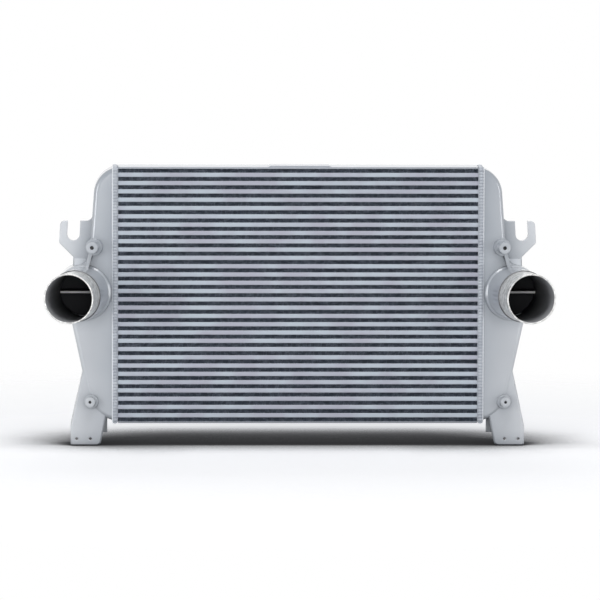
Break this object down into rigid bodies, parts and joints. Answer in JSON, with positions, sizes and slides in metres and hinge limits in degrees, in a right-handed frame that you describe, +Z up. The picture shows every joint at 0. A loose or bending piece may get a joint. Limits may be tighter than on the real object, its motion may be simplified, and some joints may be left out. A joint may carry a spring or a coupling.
{
  "type": "intercooler",
  "caption": "Bar-and-plate charge-air cooler: a finned core between two cast end tanks, each with a forward hose neck, a notched hook, threaded bosses and a bolt-on foot.",
  "frame": {"origin": "on the floor plane, below the middle of the whole part", "axes": "+X to the right across the part, +Y to the rear, away from the necks, +Z up"},
  "size_m": [0.9026, 0.2068, 0.5003],
  "materials": {
    "tank_paint": "satin silver powder coat on sand-cast aluminium",
    "core_paint": "thin satin silver coat on the brazed bars",
    "plate_paint": "satin silver coat on sheet",
    "weld_paint": "satin silver coat on a rippled weld bead",
    "fin_metal": "satin folded strip"
  },
  "bodies": {
    "root": {"air_fin_01": "fin_metal", "air_fin_02": "fin_metal", "air_fin_03": "fin_metal", "air_fin_04": "fin_metal", "air_fin_05": "fin_metal", "air_fin_06": "fin_metal", "air_fin_07": "fin_metal", "air_fin_08": "fin_metal", "air_fin_09": "fin_metal", "air_fin_10": "fin_metal", "air_fin_11": "fin_metal", "air_fin_12": "fin_metal", "air_fin_13": "fin_metal", "air_fin_14": "fin_metal", "air_fin_15": "fin_metal", "air_fin_16": "fin_metal", "air_fin_17": "fin_metal", "air_fin_18": "fin_metal", "air_fin_19": "fin_metal", "air_fin_20": "fin_metal", "air_fin_21": "fin_metal", "air_fin_22": "fin_metal", "air_fin_23": "fin_metal", "air_fin_24": "fin_metal", "air_fin_25": "fin_metal", "air_fin_26": "fin_metal", "air_fin_27": "fin_metal", "air_fin_28": "fin_metal", "air_fin_29": "fin_metal", "air_fin_30": "fin_metal", "air_fin_31": "fin_metal", "bottom_side_plate": "plate_paint", "core_matrix": "core_paint", "left_end_tank": "tank_paint", "left_tank_weld": "weld_paint", "right_end_tank": "tank_paint", "right_tank_weld": "weld_paint", "top_pad": "plate_paint", "top_side_plate": "plate_paint"}
  },
  "joints": []
}
